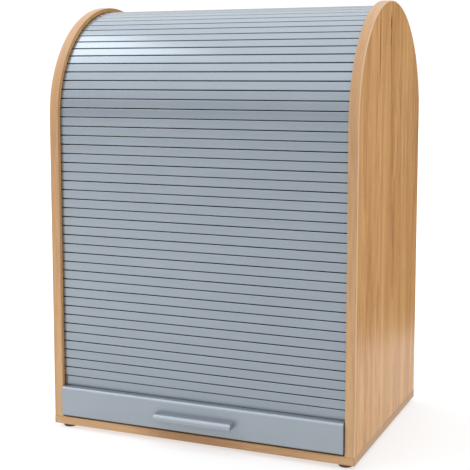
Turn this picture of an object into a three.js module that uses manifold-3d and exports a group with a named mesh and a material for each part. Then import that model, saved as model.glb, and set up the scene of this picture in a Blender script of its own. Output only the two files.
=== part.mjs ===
// Counter-top cabinet with a roll-top (tambour) front.
//
// Two oak-faced side panels with semicircular tops stand on a base board. A shutter of plastic slats
// runs in a groove routed into both panels: up the front, over the arch and down behind the inner back.
// A closing bar with a pull handle ends the shutter at the front.
//
// Millimetres, +Z up. The front faces -Y, X runs across the width, and Z is 0 under the feet.
import * as THREE from 'three';
import { mergeVertices } from 'three/addons/utils/BufferGeometryUtils.js';
import Module from 'manifold-3d';

const wasm = await Module();
wasm.setup();

// Cabinet
const WIDTH = 516;
const DEPTH = 371;
const PANEL_THICKNESS = 16;
const BAND_THICKNESS = 2;
const ARCH_CENTRE_Z = 511.5;
const ARCH_RADIUS = DEPTH / 2;
const ARCH_STEPS = 60;

// Feet and base board
const FOOT_HEIGHT = 7;
const FOOT_RADIUS = 11;
const FOOT_RIM = 3;
const FOOT_SIDE_INSET = 19;
const FOOT_EDGE_INSET = 18;
const FOOT_NAIL = { radius: 1.6, length: 9 };
const BASE_THICKNESS = 13;
const BASE_SIDE_INSET = 1;
const BASE_REAR_OVERHANG = 3;
const BASE_TOP = FOOT_HEIGHT + BASE_THICKNESS;

// Shutter and its groove
const SLAT_THICKNESS = 4;
const SLAT_PITCH = 14.7;
const SLAT_GAP = 1.3;
const SLAT_RECESS = 7.5;
const SLAT_CORNER = 1;
const WEB_THICKNESS = 0.8;
const PAIR_COUNT = 34;
const GROOVE_WIDTH = 5.6;
const GROOVE_DEPTH = 6;
const TONGUE = 5;
const TRACK_RADIUS = ARCH_RADIUS - SLAT_RECESS - SLAT_THICKNESS / 2;
const TRACK_ARC = Math.PI * TRACK_RADIUS;
const FIRST_SLAT_Z = 88.2;

// Closing bar and handle
const BAR_BOTTOM = BASE_TOP + 3.5;
const BAR_TOP = 72;
const BAR_PROUD = 5;
const BAR_END_GAP = 0.8;
const BAR_RADIUS = { top: 6, bottom: 3 };
const BAR_TAB = { bottom: 32, top: 62 };
const LEAD_SLAT_THICKNESS = 2.5;
const HANDLE = { length: 134, depth: 17, top: 52, height: 10.5, wall: 3.5, corner: 4, nose: 8 };
const HANDLE_BOSS = { x: 48, width: 11 };
const SCREW = { radius: 2, headRadius: 4, headHeight: 2.2, bite: 9, tipRadius: 1.2, tipLength: 1.5 };
const BUMPER = { radius: 4, height: 3.2, x: 190, behindFront: 7.5 };

// Inside
const INNER_BACK = { thickness: 5, front: 165, top: 506 };
const OUTER_BACK = { thickness: 3, top: 511 };
const RAIL = { thickness: 16, height: 40 };
const PIN = { radius: 2.4, headRadius: 4, headLength: 7, shank: 7, rows: 6, rowStep: 32, firstZ: 144 };
const SHELF = { thickness: 12, pinRow: 3, front: -150 };
const PIN_COLUMNS = [-110, 120];
const FIT_GAP = 0.3;
const SHELF_REST_GAP = 0.1;
const SHELF_PIN_Z = PIN.firstZ + SHELF.pinRow * PIN.rowStep;
const SHELF_BOTTOM = SHELF_PIN_Z + PIN.headRadius + SHELF_REST_GAP;

// The handle sticks out further than the base board does behind, so the cabinet is moved back
// until its origin lies under the middle of the whole object.
const HANDLE_FRONT = DEPTH / 2 + BAR_PROUD + HANDLE.depth;
const REAR = DEPTH / 2 + BASE_REAR_OVERHANG;
const CABINET_Y = (HANDLE_FRONT - REAR) / 2;

const INNER_HALF = WIDTH / 2 - PANEL_THICKNESS;
const oak = material(0xbf925f, 0.45, 0);
const oakEdge = material(0xc49b6d, 0.5, 0);
const hardboard = material(0xb9a184, 0.7, 0);
const slatPlastic = material(0x98a2ac, 0.35, 0.1);
const barPlastic = material(0xa0a7ad, 0.35, 0.1);
const dark = material(0x3a2a20, 0.6, 0);
const steel = material(0xb8bcc0, 0.3, 1);

function material(color, roughness, metalness) {
  return new THREE.MeshStandardMaterial({ color, roughness, metalness });
}

function named(name, geometry, finish) {
  const mesh = new THREE.Mesh(geometry, finish);
  mesh.name = name;
  return mesh;
}

// ---- solids ----

// A manifold solid of a closed geometry.
function solid(geometry) {
  const bare = geometry.clone();
  bare.deleteAttribute('normal');
  bare.deleteAttribute('uv');
  const merged = mergeVertices(bare, 1e-4);
  const mesh = new wasm.Mesh({
    numProp: 3,
    vertProperties: new Float32Array(merged.attributes.position.array),
    triVerts: new Uint32Array(merged.index.array),
  });
  return new wasm.Manifold(mesh);
}

function geometryOf(manifold) {
  const mesh = manifold.getMesh();
  const geometry = new THREE.BufferGeometry();
  geometry.setAttribute('position', new THREE.BufferAttribute(mesh.vertProperties, 3));
  geometry.setIndex(new THREE.BufferAttribute(mesh.triVerts, 1));
  return geometry;
}

function cut(geometry, tools) {
  return geometryOf(tools.reduce((left, tool) => left.subtract(solid(tool)), solid(geometry)));
}

function box(from, to) {
  const size = to.map((value, axis) => value - from[axis]);
  const geometry = new THREE.BoxGeometry(...size);
  return geometry.translate(...from.map((value, axis) => value + size[axis] / 2));
}

function cylinder(radius, from, to, sides = 16) {
  const start = new THREE.Vector3(...from);
  const along = new THREE.Vector3(...to).sub(start);
  const geometry = new THREE.CylinderGeometry(radius, radius, along.length(), sides);
  const axis = along.clone().normalize();
  const turn = new THREE.Quaternion().setFromUnitVectors(new THREE.Vector3(0, 1, 0), axis);
  return geometry.applyQuaternion(turn).translate(...start.addScaledVector(along, 0.5));
}

// An outline in the side view, as [y, z] points, extruded across the width from x0 to x1.
function acrossWidth(points, x0, x1) {
  const shape = new THREE.Shape(points.map(([y, z]) => new THREE.Vector2(y, z)));
  const geometry = new THREE.ExtrudeGeometry(shape, { depth: x1 - x0, bevelEnabled: false });
  const sideView = new THREE.Matrix4().makeBasis(
    new THREE.Vector3(0, 1, 0),
    new THREE.Vector3(0, 0, 1),
    new THREE.Vector3(1, 0, 0),
  );
  return geometry.applyMatrix4(sideView).translate(x0, 0, 0);
}

// Points of a rounded corner, turning from startAngle to endAngle about its centre.
function roundCorner(centreY, centreZ, radius, startAngle, endAngle, steps = 4) {
  return Array.from({ length: steps + 1 }, (_, i) => {
    const angle = startAngle + ((endAngle - startAngle) * i) / steps;
    return [centreY + radius * Math.cos(angle), centreZ + radius * Math.sin(angle)];
  });
}

// ---- the arch and the shutter's track ----

// The arch outline at an offset inside the panel's edge: up the front, over and down the back.
function archLine(radius, bottom) {
  const arc = roundCorner(0, ARCH_CENTRE_Z, radius, Math.PI, 0, ARCH_STEPS);
  return [[-radius, bottom], ...arc, [radius, bottom]];
}

// The point at a distance along the track from the start of the arch, with the track's direction
// there. Negative distances are down the front.
function trackFrame(distance) {
  if (distance < 0) {
    return { y: -TRACK_RADIUS, z: ARCH_CENTRE_Z + distance, turn: 0 };
  }
  if (distance > TRACK_ARC) {
    return { y: TRACK_RADIUS, z: ARCH_CENTRE_Z - (distance - TRACK_ARC), turn: Math.PI };
  }
  const turn = distance / TRACK_RADIUS;
  return { y: -TRACK_RADIUS * Math.cos(turn), z: ARCH_CENTRE_Z + TRACK_RADIUS * Math.sin(turn), turn };
}

// A point given along the track (u) and outwards from it (v), seen from the frame at a distance.
function onTrack(distance, u, v) {
  const { y, z, turn } = trackFrame(distance);
  const [tangentY, tangentZ] = [Math.sin(turn), Math.cos(turn)];
  return [y + u * tangentY - v * tangentZ, z + u * tangentZ + v * tangentY];
}

// One flat slat as the front half and the back half of its section, from its lower to its upper edge.
function slatSection(distance) {
  const end = (SLAT_PITCH - SLAT_GAP) / 2;
  const face = SLAT_THICKNESS / 2;
  const front = [
    onTrack(distance, -end, -face + WEB_THICKNESS),
    onTrack(distance, -end, face - SLAT_CORNER / 2),
    onTrack(distance, -end + SLAT_CORNER / 2, face),
    onTrack(distance, end - SLAT_CORNER, face),
    onTrack(distance, end - SLAT_CORNER * 0.3, face - SLAT_CORNER * 0.3),
    onTrack(distance, end, face - SLAT_CORNER),
    onTrack(distance, end, -face + WEB_THICKNESS),
  ];
  const back = [onTrack(distance, -end, -face), onTrack(distance, end, -face)];
  return { front, back };
}

// Two slats joined by the thin web that the shutter bends at.
function slatPair(index) {
  const first = FIRST_SLAT_Z - ARCH_CENTRE_Z + (2 * index + 0.5) * SLAT_PITCH;
  const lower = slatSection(first);
  const upper = slatSection(first + SLAT_PITCH);
  const outline = [...lower.front, ...upper.front, ...[...lower.back, ...upper.back].reverse()];
  const half = INNER_HALF + TONGUE;
  const name = `slat_pair_${String(index + 1).padStart(2, '0')}`;
  return named(name, acrossWidth(outline, -half, half), slatPlastic);
}

// ---- side panels ----

function pinHoles(side) {
  const holes = [];
  const deep = side * (INNER_HALF + PIN.shank + 1);
  for (const y of PIN_COLUMNS) {
    for (let row = 0; row < PIN.rows; row += 1) {
      const z = PIN.firstZ + row * PIN.rowStep;
      holes.push(cylinder(PIN.radius + FIT_GAP, [side * (INNER_HALF - 1), y, z], [deep, y, z], 12));
    }
  }
  return holes;
}

function guideGroove(side) {
  const outer = archLine(TRACK_RADIUS + GROOVE_WIDTH / 2, BASE_TOP - 1);
  const inner = archLine(TRACK_RADIUS - GROOVE_WIDTH / 2, BASE_TOP - 1);
  const [from, to] = [side * (INNER_HALF - 1), side * (INNER_HALF + GROOVE_DEPTH)].sort((a, b) => a - b);
  return acrossWidth([...outer, ...inner.reverse()], from, to);
}

function sidePanel(name, side) {
  const [from, to] = [side * INNER_HALF, side * (WIDTH / 2)].sort((a, b) => a - b);
  const board = acrossWidth(archLine(ARCH_RADIUS - BAND_THICKNESS, BASE_TOP), from, to);
  return named(name, cut(board, [guideGroove(side), ...pinHoles(side)]), oak);
}

function edgeBand(name, side) {
  const [from, to] = [side * INNER_HALF, side * (WIDTH / 2)].sort((a, b) => a - b);
  const inner = archLine(ARCH_RADIUS - BAND_THICKNESS, BASE_TOP).reverse();
  return named(name, acrossWidth([...archLine(ARCH_RADIUS, BASE_TOP), ...inner], from, to), oakEdge);
}

// ---- base and feet ----

const footPlaces = {
  front_left: [-1, -1],
  front_right: [1, -1],
  rear_left: [-1, 1],
  rear_right: [1, 1],
};

function footCentre([sideX, sideY]) {
  return [sideX * (WIDTH / 2 - FOOT_SIDE_INSET), sideY * (DEPTH / 2 - FOOT_EDGE_INSET)];
}

// A plastic glide with a rounded lower rim and a nail in the base board.
function foot(name, place) {
  const profile = [
    [0, 0],
    [FOOT_RADIUS - FOOT_RIM, 0],
    [FOOT_RADIUS - FOOT_RIM / 3, FOOT_RIM / 3],
    [FOOT_RADIUS, FOOT_RIM],
    [FOOT_RADIUS, FOOT_HEIGHT],
    [FOOT_NAIL.radius, FOOT_HEIGHT],
    [FOOT_NAIL.radius, FOOT_HEIGHT + FOOT_NAIL.length],
    [0, FOOT_HEIGHT + FOOT_NAIL.length],
  ];
  const geometry = new THREE.LatheGeometry(profile.map(([r, z]) => new THREE.Vector2(r, z)), 24);
  const mesh = named(name, geometry.rotateX(Math.PI / 2), dark);
  mesh.position.set(...footCentre(place), 0);
  return mesh;
}

function baseBoard() {
  const half = WIDTH / 2 - BASE_SIDE_INSET;
  const front = -DEPTH / 2 + BAND_THICKNESS;
  const board = box([-half, front, FOOT_HEIGHT], [half, REAR, BASE_TOP]);
  const holes = Object.values(footPlaces).map((place) => {
    const [x, y] = footCentre(place);
    const top = FOOT_HEIGHT + FOOT_NAIL.length + FIT_GAP;
    return cylinder(FOOT_NAIL.radius + FIT_GAP, [x, y, FOOT_HEIGHT - 1], [x, y, top]);
  });
  return named('base_board', cut(board, holes), oak);
}

function baseEdgeBand() {
  const half = WIDTH / 2 - BASE_SIDE_INSET;
  const band = box([-half, -DEPTH / 2, FOOT_HEIGHT], [half, -DEPTH / 2 + BAND_THICKNESS, BASE_TOP]);
  return named('base_edge_band', band, oakEdge);
}

// ---- closing bar, its lead slat, handle and bumpers ----

function barSection() {
  const front = -DEPTH / 2 - BAR_PROUD;
  const back = -TRACK_RADIUS + SLAT_THICKNESS / 2;
  const { top, bottom } = BAR_RADIUS;
  return [
    ...roundCorner(front + bottom, BAR_BOTTOM + bottom, bottom, 1.5 * Math.PI, Math.PI),
    ...roundCorner(front + top, BAR_TOP - top, top, Math.PI, 0.5 * Math.PI, 8),
    [back, BAR_TOP],
    [back, BAR_BOTTOM],
  ];
}

function screwPlaces() {
  return [-HANDLE_BOSS.x, HANDLE_BOSS.x].map((x) => [x, HANDLE.top - HANDLE.height / 2]);
}

function closingBar() {
  const half = INNER_HALF - BAR_END_GAP;
  const back = -TRACK_RADIUS + SLAT_THICKNESS / 2;
  const tabHalf = INNER_HALF + TONGUE;
  const tab = box([-tabHalf, back - SLAT_THICKNESS, BAR_TAB.bottom], [tabHalf, back, BAR_TAB.top]);
  const body = geometryOf(solid(acrossWidth(barSection(), -half, half)).add(solid(tab)));
  const front = -DEPTH / 2 - BAR_PROUD;
  const holes = screwPlaces().flatMap(([x, z]) => [
    cylinder(SCREW.radius + FIT_GAP, [x, front - 1, z], [x, back + 1, z]),
    cylinder(SCREW.headRadius + FIT_GAP, [x, back - SCREW.headHeight - FIT_GAP, z], [x, back + 1, z]),
  ]);
  return named('closing_bar', cut(body, holes), barPlastic);
}

// The plain slat above the bar, set a little deeper than the others.
function leadSlat() {
  const back = -TRACK_RADIUS + SLAT_THICKNESS / 2;
  const half = INNER_HALF + TONGUE;
  const top = FIRST_SLAT_Z - SLAT_GAP / 2;
  const from = [-half, back - LEAD_SLAT_THICKNESS, BAR_TOP + FIT_GAP];
  return named('lead_slat', box(from, [half, back, top]), slatPlastic);
}

// A ledge with a rounded nose that fingers hook under. Two bosses inside it take the screws.
function pullHandle() {
  const back = -DEPTH / 2 - BAR_PROUD;
  const front = back - HANDLE.depth;
  const half = HANDLE.length / 2;
  const r = HANDLE.corner;
  const plan = [
    [half, back],
    [-half, back],
    ...roundCorner(-half + r, front + r, r, Math.PI, 1.5 * Math.PI),
    ...roundCorner(half - r, front + r, r, 1.5 * Math.PI, 2 * Math.PI),
  ];
  const shape = new THREE.Shape(plan.map(([x, y]) => new THREE.Vector2(x, y)));
  const ledge = new THREE.ExtrudeGeometry(shape, { depth: HANDLE.height, bevelEnabled: false });
  ledge.translate(0, 0, HANDLE.top - HANDLE.height);
  const { nose, top, wall } = HANDLE;
  const overNose = acrossWidth(
    [
      [front - 1, top + 1],
      [front - 1, top - nose],
      ...roundCorner(front + nose, top - nose, nose, Math.PI, 0.5 * Math.PI, 8),
      [front + nose, top + 1],
    ],
    -half - 1,
    half + 1,
  );
  const innerHalf = half - wall;
  const recess = (x0, x1) => box([x0, front + wall, top - HANDLE.height - 1], [x1, back + 1, top - wall]);
  const inner = HANDLE_BOSS.x - HANDLE_BOSS.width / 2;
  const outer = HANDLE_BOSS.x + HANDLE_BOSS.width / 2;
  const pilots = screwPlaces().map(([x, z]) => {
    const deep = back - SCREW.bite - FIT_GAP;
    return cylinder(SCREW.radius + FIT_GAP, [x, back + 1, z], [x, deep, z]);
  });
  const recesses = [recess(-inner, inner), recess(outer, innerHalf), recess(-innerHalf, -outer)];
  return named('pull_handle', cut(ledge, [overNose, ...recesses, ...pilots]), barPlastic);
}

function handleScrew(name, [x, z]) {
  const seat = -TRACK_RADIUS + SLAT_THICKNESS / 2 - SCREW.headHeight;
  const tip = -DEPTH / 2 - BAR_PROUD - SCREW.bite;
  const length = seat - tip;
  const profile = [
    [0, 0],
    [SCREW.tipRadius, 0],
    [SCREW.radius, SCREW.tipLength],
    [SCREW.radius, length],
    [SCREW.headRadius, length],
    [SCREW.headRadius - 1, length + SCREW.headHeight],
    [0, length + SCREW.headHeight],
  ];
  const geometry = new THREE.LatheGeometry(profile.map(([r, y]) => new THREE.Vector2(r, y)), 16);
  const mesh = named(name, geometry, steel);
  mesh.position.set(x, tip, z);
  return mesh;
}

// A soft pad that the bar comes down on.
function bumper(name, side) {
  const x = side * BUMPER.x;
  const y = -DEPTH / 2 + BUMPER.behindFront;
  return named(name, cylinder(BUMPER.radius, [x, y, BASE_TOP], [x, y, BASE_TOP + BUMPER.height]), dark);
}

// ---- inside ----

function backPanel(name, half, front, thickness, top) {
  return named(name, box([-half, front, BASE_TOP], [half, front + thickness, top]), hardboard);
}

function rearRail() {
  const half = INNER_HALF - FIT_GAP;
  const rear = INNER_BACK.front - FIT_GAP;
  const from = [-half, rear - RAIL.thickness, INNER_BACK.top - RAIL.height];
  return named('rear_rail', box(from, [half, rear, INNER_BACK.top]), oak);
}

function shelf() {
  const half = INNER_HALF - 1;
  const rear = INNER_BACK.front - 1;
  const from = [-half, SHELF.front, SHELF_BOTTOM];
  return named('shelf', box(from, [half, rear, SHELF_BOTTOM + SHELF.thickness]), oak);
}

// A steel shelf pin: a shank in the panel and a wider head under the shelf.
function shelfPin(name, side, y) {
  const profile = [
    [0, 0],
    [PIN.headRadius, 0],
    [PIN.headRadius, PIN.headLength],
    [PIN.radius, PIN.headLength],
    [PIN.radius, PIN.headLength + PIN.shank],
    [0, PIN.headLength + PIN.shank],
  ];
  const geometry = new THREE.LatheGeometry(profile.map(([r, d]) => new THREE.Vector2(r, d)), 12);
  const mesh = named(name, geometry.rotateZ((-side * Math.PI) / 2), steel);
  mesh.position.set(side * (INNER_HALF - FIT_GAP - PIN.headLength), y, SHELF_PIN_Z);
  return mesh;
}

function build() {
  const cabinet = new THREE.Group();
  cabinet.position.y = CABINET_Y;
  cabinet.add(sidePanel('side_panel_left', -1), sidePanel('side_panel_right', 1));
  cabinet.add(edgeBand('edge_band_left', -1), edgeBand('edge_band_right', 1));
  cabinet.add(baseBoard(), baseEdgeBand());
  for (const [name, place] of Object.entries(footPlaces)) {
    cabinet.add(foot(`foot_${name}`, place));
  }
  const panelGap = INNER_HALF - FIT_GAP;
  const outerFront = DEPTH / 2 - OUTER_BACK.thickness;
  cabinet.add(backPanel('inner_back', panelGap, INNER_BACK.front, INNER_BACK.thickness, INNER_BACK.top));
  cabinet.add(backPanel('outer_back', panelGap, outerFront, OUTER_BACK.thickness, OUTER_BACK.top));
  cabinet.add(rearRail(), shelf());
  for (const [sideName, side] of [['left', -1], ['right', 1]]) {
    cabinet.add(shelfPin(`shelf_pin_front_${sideName}`, side, PIN_COLUMNS[0]));
    cabinet.add(shelfPin(`shelf_pin_rear_${sideName}`, side, PIN_COLUMNS[1]));
    cabinet.add(bumper(`bumper_${sideName}`, side));
  }
  cabinet.add(closingBar(), leadSlat(), pullHandle());
  const [leftScrew, rightScrew] = screwPlaces();
  cabinet.add(handleScrew('handle_screw_left', leftScrew), handleScrew('handle_screw_right', rightScrew));
  for (let index = 0; index < PAIR_COUNT; index += 1) {
    cabinet.add(slatPair(index));
  }
  const object = new THREE.Group();
  object.add(cabinet);
  return object;
}

export default build();
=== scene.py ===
"""Looks of a counter-top bread cabinet with a roll-top front, modelled round its CAD frame."""

import math

import bmesh
import bpy
from bpy.props import FloatProperty, FloatVectorProperty, IntProperty, PointerProperty
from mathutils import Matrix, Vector


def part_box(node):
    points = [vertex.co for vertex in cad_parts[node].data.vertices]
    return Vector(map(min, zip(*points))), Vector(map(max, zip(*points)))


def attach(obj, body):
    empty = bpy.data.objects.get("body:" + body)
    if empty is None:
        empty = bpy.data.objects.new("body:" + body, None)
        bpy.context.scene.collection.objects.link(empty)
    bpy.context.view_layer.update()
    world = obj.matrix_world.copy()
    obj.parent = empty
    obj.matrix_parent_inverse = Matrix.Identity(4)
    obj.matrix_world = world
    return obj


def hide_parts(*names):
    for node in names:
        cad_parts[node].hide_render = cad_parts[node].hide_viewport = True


bl_info = {
    "name": "Roll-top bread cabinet",
    "version": (1, 0, 0),
    "blender": (4, 5, 0),
    "location": "View3D > Sidebar > Bread cabinet",
    "description": "Models an oak-faced bread cabinet with a slatted roll-top shutter",
    "category": "Add Mesh",
}

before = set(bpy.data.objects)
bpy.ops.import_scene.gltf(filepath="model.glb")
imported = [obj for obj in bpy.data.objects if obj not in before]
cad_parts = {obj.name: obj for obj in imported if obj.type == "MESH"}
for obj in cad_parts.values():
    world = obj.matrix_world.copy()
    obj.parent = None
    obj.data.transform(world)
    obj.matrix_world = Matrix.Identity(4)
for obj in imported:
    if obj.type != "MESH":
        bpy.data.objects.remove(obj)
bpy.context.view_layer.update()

# Places taken from the CAD nodes, in metres. X runs across the width, the front faces -Y.
PANEL_LOW, PANEL_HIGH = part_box("side_panel_right")
BAND_LOW, BAND_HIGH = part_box("edge_band_right")
BOARD_LOW, BOARD_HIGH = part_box("base_board")
SLAT_LOW, SLAT_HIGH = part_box("slat_pair_01")
SECOND_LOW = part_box("slat_pair_02")[0]
BAR_LOW, BAR_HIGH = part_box("closing_bar")
PAIRS = sorted(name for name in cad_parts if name.startswith("slat_pair_"))

INNER_HALF = PANEL_LOW.x
OUTER_HALF = PANEL_HIGH.x
ARCH_RADIUS = (BAND_HIGH.y - BAND_LOW.y) / 2
ARCH_Y = (BAND_HIGH.y + BAND_LOW.y) / 2
ARCH_Z = BAND_HIGH.z - ARCH_RADIUS
BAND_THICKNESS = PANEL_LOW.y - BAND_LOW.y
TRACK_RADIUS = ARCH_Y - (SLAT_LOW.y + SLAT_HIGH.y) / 2
SLAT_THICKNESS = SLAT_HIGH.y - SLAT_LOW.y
SLAT_PITCH = (SECOND_LOW.z - SLAT_LOW.z) / 2
SLAT_GAP = 2 * SLAT_PITCH - (SLAT_HIGH.z - SLAT_LOW.z)

# Tolerances and cut margins in metres, the smoothing angle in degrees, and the axes' indices.
NEAR = 2e-5
MERGE_DISTANCE = 1e-5
MIRROR_MERGE_DISTANCE = 1e-6
CUT_MARGIN = 0.001
PLACE_TOLERANCE = 0.001
SMOOTH_ANGLE = 32
X, Y, Z = 0, 1, 2

# Gaps, small roundings and details, in metres.
FIT_GAP = 0.0003
BOARD_ROUND = 0.0004
SEAM_ROUND = 0.001
BAR_END_ROUND = 0.0012
HANDLE_LIP = 0.0015
HANDLE_CORNER = 0.003
PIN_HEAD_ROUND = 0.0008
PIN_END_ROUND = 0.0005
FOOT_RIM_ROUND = 0.0022
FOOT_TOP_ROUND = 0.0004
FOOT_RING_INSET = 0.0025
FOOT_RING_WIDTH = 0.0006
FOOT_RING_DEPTH = 0.0004
TAB_ROUND = 0.0006
LEAD_ROUND = 0.0008
BUMPER_ROUND = 0.0012
HOLLOW_CORNER = 0.002
SCREW_HEAD_ROUND = 0.0015
RECESS_LENGTH = 0.0018
RECESS_WIDTH = 0.00035
RECESS_DEPTH = 0.0012

# How much of a nail's and of a screw's length tapers, and what is left of its width.
NAIL_TIP_SHARE = 0.25
NAIL_TIP_WIDTH = 0.25
SCREW_TIP_SHARE = 0.12
SCREW_TIP_WIDTH = 0.5

# Dark marks in the oak: middle in the grain's Y and Z, half sizes along them, and strength.
PANEL_MARKS = (
    ((-0.003, 0.662), (0.005, 0.017), 1.0),
    ((-0.003, 0.636), (0.0045, 0.02), 0.8),
    ((-0.066, 0.625), (0.0045, 0.08), 0.75),
    ((-0.001, 0.600), (0.004, 0.035), 0.5),
    ((-0.060, 0.230), (0.008, 0.05), 0.35),
)

# Each straight edge band is cut at its own depth in the grain, so that no two look alike.
BASE_FRONT_GRAIN = 0.3
SHELF_FRONT_GRAIN = 0.6
BASE_END_GRAIN = 0.9
BASE_FRONT_MARKS = (
    ((BASE_FRONT_GRAIN, -0.01), (0.05, 0.11), 0.55),
    ((BASE_FRONT_GRAIN, 0.13), (0.05, 0.1), 0.25),
)

# The stage, in metres, degrees and watts, with the lens in millimetres.
CAMERA_PLACE = (0.6815, -1.6324, 0.5827)
CAMERA_DOWN = 6.39
CAMERA_TURN = 22.89
CAMERA_LENS = 81.08
CAMERA_SHIFT_Y = -0.09
GLEAM_PLACE = (-1.15, -0.32, 1.78)
GLEAM_TARGET = (-0.15, -0.1, 0.6)
GLEAM_SIZE = 0.85
GLEAM_POWER = 4.4
FLOOR_LAMP_PLACE = (-0.95, -1.3, 1.1)
FLOOR_LAMP_SIZE = 0.5
FLOOR_LAMP_POWER = 8
CLOTH_SIZE = (1.4, 1.0)
CLOTH_PLACE = (0.26, 0.99, 0.5)
CLOTH_TURN = -67
FLOOR_SIZE = 40
SHELL_RADIUS = 28


def tone(red, green, blue):
    """A linear colour from 8-bit screen values."""
    shares = [value / 255 for value in (red, green, blue)]
    return tuple(s / 12.92 if s <= 0.04045 else ((s + 0.055) / 1.055) ** 2.4 for s in shares)


def length(name, description, default):
    return FloatProperty(
        name=name, description=description, default=default, min=0, precision=5, unit="LENGTH"
    )


def count(name, description, default):
    return IntProperty(name=name, description=description, default=default, min=1)


def colour(name, description, default):
    return FloatVectorProperty(
        name=name, description=description, default=default, min=0, max=1, subtype="COLOR"
    )


# ---- sizes and colours a user would change ----


class CabinetSizes(bpy.types.PropertyGroup):
    arch_steps: count("Arch steps", "Facets in each quarter of the arch", 48)
    groove_width: length("Groove width", "Width of the shutter groove", 0.0056)
    groove_depth: length("Groove depth", "Depth of the shutter groove", 0.006)
    band_round: length("Band rounding", "Rounding of the edge band's long edges", 0.0014)
    end_band: length("End band", "Thickness of the bands on the base board's ends", 0.0006)
    pin_rows: count("Pin rows", "Rows of shelf pin holes", 6)
    pin_row_in_use: count("Row in use", "Row that the shelf pins stand in", 3)
    pin_row_step: length("Pin row step", "Distance between rows of pin holes", 0.032)
    pin_radius: length("Pin radius", "Radius of a shelf pin's shank", 0.0024)
    pin_shank: length("Pin shank", "Length of a shelf pin's shank", 0.007)
    nail_radius: length("Nail radius", "Radius of the nail in a foot", 0.0016)


class ShutterSizes(bpy.types.PropertyGroup):
    web_thickness: length("Web thickness", "Thickness of the web where the shutter bends", 0.0008)
    upper_round: length("Upper rounding", "Rounding of a slat's upper edge", 0.0012)
    lower_round: length("Lower rounding", "Rounding of a slat's lower edge", 0.0008)
    bar_end_gap: length("Bar end gap", "Gap between the bar and a side panel", 0.0008)
    bar_top_round: length("Bar top rounding", "Rounding of the bar's upper front edge", 0.006)
    bar_bottom_round: length("Bar bottom rounding", "Rounding of the bar's lower front edge", 0.003)
    tab_bottom: length("Tab bottom", "Height of the guide tabs' lower end", 0.032)
    tab_top: length("Tab top", "Height of the guide tabs' upper end", 0.062)
    handle_wall: length("Handle wall", "Wall thickness of the pull handle", 0.0035)
    handle_nose: length("Handle nose", "Rounding of the handle's upper front edge", 0.008)
    boss_width: length("Boss width", "Width of the handle's screw bosses", 0.011)
    screw_radius: length("Screw radius", "Radius of a handle screw's shank", 0.002)
    screw_head: length("Screw head", "Height of a handle screw's head", 0.0022)


class Finishes(bpy.types.PropertyGroup):
    oak_light: colour("Oak light", "Lighter tone of the oak faces", tone(216, 168, 114))
    oak_dark: colour("Oak dark", "Darker tone of the oak faces", tone(172, 123, 73))
    oak_pore: colour("Oak pores", "Tone of the pores and dark growth lines", tone(122, 76, 38))
    band_light: colour("Band light", "Lighter tone of the edge bands", tone(190, 151, 107))
    # A pale painted highlight for the line where the bands' outer arris catches the light.
    band_arris_highlight: colour("Band arris highlight", "Pale tone of the bands' milled edges", tone(232, 206, 170))
    band_dark: colour("Band dark", "Darker tone of the edge bands", tone(158, 120, 82))
    slat: colour("Slat", "Silver grey of the slats", tone(142, 150, 157))
    bar: colour("Bar", "Silver grey of the closing bar and handle", tone(150, 157, 164))
    hardboard: colour("Hardboard", "Tone of the back boards", tone(176, 150, 118))
    foot: colour("Foot", "Tone of the feet", tone(58, 40, 28))
    rubber: colour("Rubber", "Tone of the bumpers", tone(52, 48, 45))
    steel: colour("Steel", "Tone of the zinc-plated steel", tone(196, 198, 200))
    floor: colour("Floor", "Tone of the studio floor", tone(150, 150, 150))


# ---- modelling helpers ----


def middle_of(node):
    """The middle of a CAD node's box."""
    low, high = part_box(node)
    return (low + high) / 2


def activate(obj):
    """Makes a piece the only selected one."""
    bpy.ops.object.select_all(action="DESELECT")
    obj.select_set(True)
    bpy.context.view_layer.objects.active = obj


def settle(obj):
    """Puts a piece's place, turn and scale into its mesh."""
    activate(obj)
    bpy.ops.object.transform_apply(location=True, rotation=True, scale=True)
    return obj


def added(name):
    """The primitive that was just added, under its own name."""
    bpy.context.object.name = name
    return bpy.context.object


def block(name, low, high):
    """A block between its lowest and highest corners."""
    low, high = Vector(low), Vector(high)
    bpy.ops.mesh.primitive_cube_add(size=1, location=(low + high) / 2, scale=high - low)
    return settle(added(name))


def rod(name, radius, middle, axis, start, end, sides=32):
    """A round rod along an axis through a middle point, from start to end."""
    first, last = Vector(middle), Vector(middle)
    first[axis], last[axis] = start, end
    bpy.ops.mesh.primitive_cylinder_add(
        vertices=sides,
        radius=radius,
        depth=abs(end - start),
        location=(first + last) / 2,
        rotation=(last - first).to_track_quat("Z", "Y").to_euler(),
    )
    return settle(added(name))


def twin(obj, name):
    """A copy of a piece with its own mesh."""
    made = obj.copy()
    made.data = obj.data.copy()
    made.name = made.data.name = name
    bpy.context.scene.collection.objects.link(made)
    return made


def mirrored(obj, name):
    """A copy of a piece on the other side of the cabinet, with its faces pointing outwards."""
    made = twin(obj, name)
    made.scale.x = -1
    settle(made)
    bpy.ops.object.mode_set(mode="EDIT")
    bpy.ops.mesh.select_all(action="SELECT")
    bpy.ops.mesh.remove_doubles(threshold=MIRROR_MERGE_DISTANCE)
    bpy.ops.mesh.normals_make_consistent(inside=False)
    bpy.ops.object.mode_set(mode="OBJECT")
    return made


def pick(obj, kind, test):
    """Enters edit mode on a piece with only the edges or faces that pass a test selected."""
    activate(obj)
    bpy.ops.object.mode_set(mode="EDIT")
    bpy.ops.mesh.select_mode(type=kind)
    bpy.ops.mesh.select_all(action="DESELECT")
    mesh = bmesh.from_edit_mesh(obj.data)
    found = [part for part in (mesh.edges if kind == "EDGE" else mesh.faces) if test(part)]
    if not found:
        raise RuntimeError(f"{obj.name} has nothing there to select")
    for part in found:
        part.select_set(True)
    mesh.select_flush_mode()
    bmesh.update_edit_mesh(obj.data)


def leave():
    """Leaves edit mode."""
    bpy.ops.object.mode_set(mode="OBJECT")


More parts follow.
